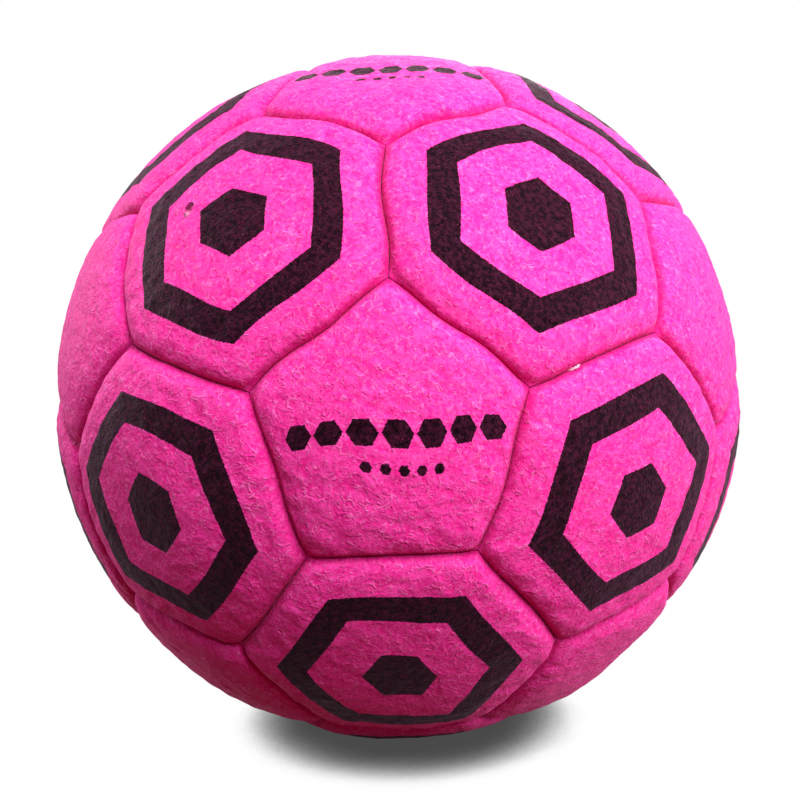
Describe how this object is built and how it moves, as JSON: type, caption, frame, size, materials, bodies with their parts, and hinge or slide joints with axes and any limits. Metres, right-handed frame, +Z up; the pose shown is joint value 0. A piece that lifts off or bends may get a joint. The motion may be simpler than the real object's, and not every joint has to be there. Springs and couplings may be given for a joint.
{
  "type": "indoor football",
  "caption": "Felt-covered indoor football: pentagon and hexagon panels sewn over a cloth lining, a rubber bladder and a pull-out valve core.",
  "frame": {"origin": "centre of the ball's resting flat on the floor, straight under the ball's middle", "axes": "+Z up, -Y out of the front pentagon, which has one corner straight up, +Y out of the valve, +X to the right seen from the front"},
  "size_m": [0.1872, 0.1876, 0.1872],
  "materials": {
    "felt": "needle felt with a short mottled nap",
    "thread": "waxed twisted thread",
    "lining": "plain woven backing cloth",
    "patch": "plain woven cloth",
    "bladder": "satin butyl rubber",
    "valve": "moulded soft rubber"
  },
  "bodies": {
    "ball": {"felt_pentagon_front": "felt", "felt_pentagon_valve": "felt", "felt_pentagon_near_1": "felt", "felt_pentagon_near_2": "felt", "felt_pentagon_near_3": "felt", "felt_pentagon_near_4": "felt", "felt_pentagon_near_5": "felt", "felt_pentagon_far_1": "felt", "felt_pentagon_far_2": "felt", "felt_pentagon_far_3": "felt", "felt_pentagon_far_4": "felt", "felt_pentagon_far_5": "felt", "felt_hexagon_front_1": "felt", "felt_hexagon_front_2": "felt", "felt_hexagon_front_3": "felt", "felt_hexagon_front_4": "felt", "felt_hexagon_front_5": "felt", "felt_hexagon_near_1": "felt", "felt_hexagon_near_2": "felt", "felt_hexagon_near_3": "felt", "felt_hexagon_near_4": "felt", "felt_hexagon_near_5": "felt", "felt_hexagon_far_1": "felt", "felt_hexagon_far_2": "felt", "felt_hexagon_far_3": "felt", "felt_hexagon_far_4": "felt", "felt_hexagon_far_5": "felt", "felt_hexagon_back_1": "felt", "felt_hexagon_back_2": "felt", "felt_hexagon_back_3": "felt", "felt_hexagon_back_4": "felt", "felt_hexagon_back_5": "felt", "seam_thread": "thread", "lining": "lining", "bladder": "bladder", "valve_patch": "patch", "valve_housing": "valve"},
    "valve_core": {"valve_core": "valve"}
  },
  "joints": [
    {"name": "valve_core_pull", "type": "slide", "parent": "ball", "child": "valve_core", "axis": [0, 1, 0], "range_m": [0, 0.03]}
  ]
}
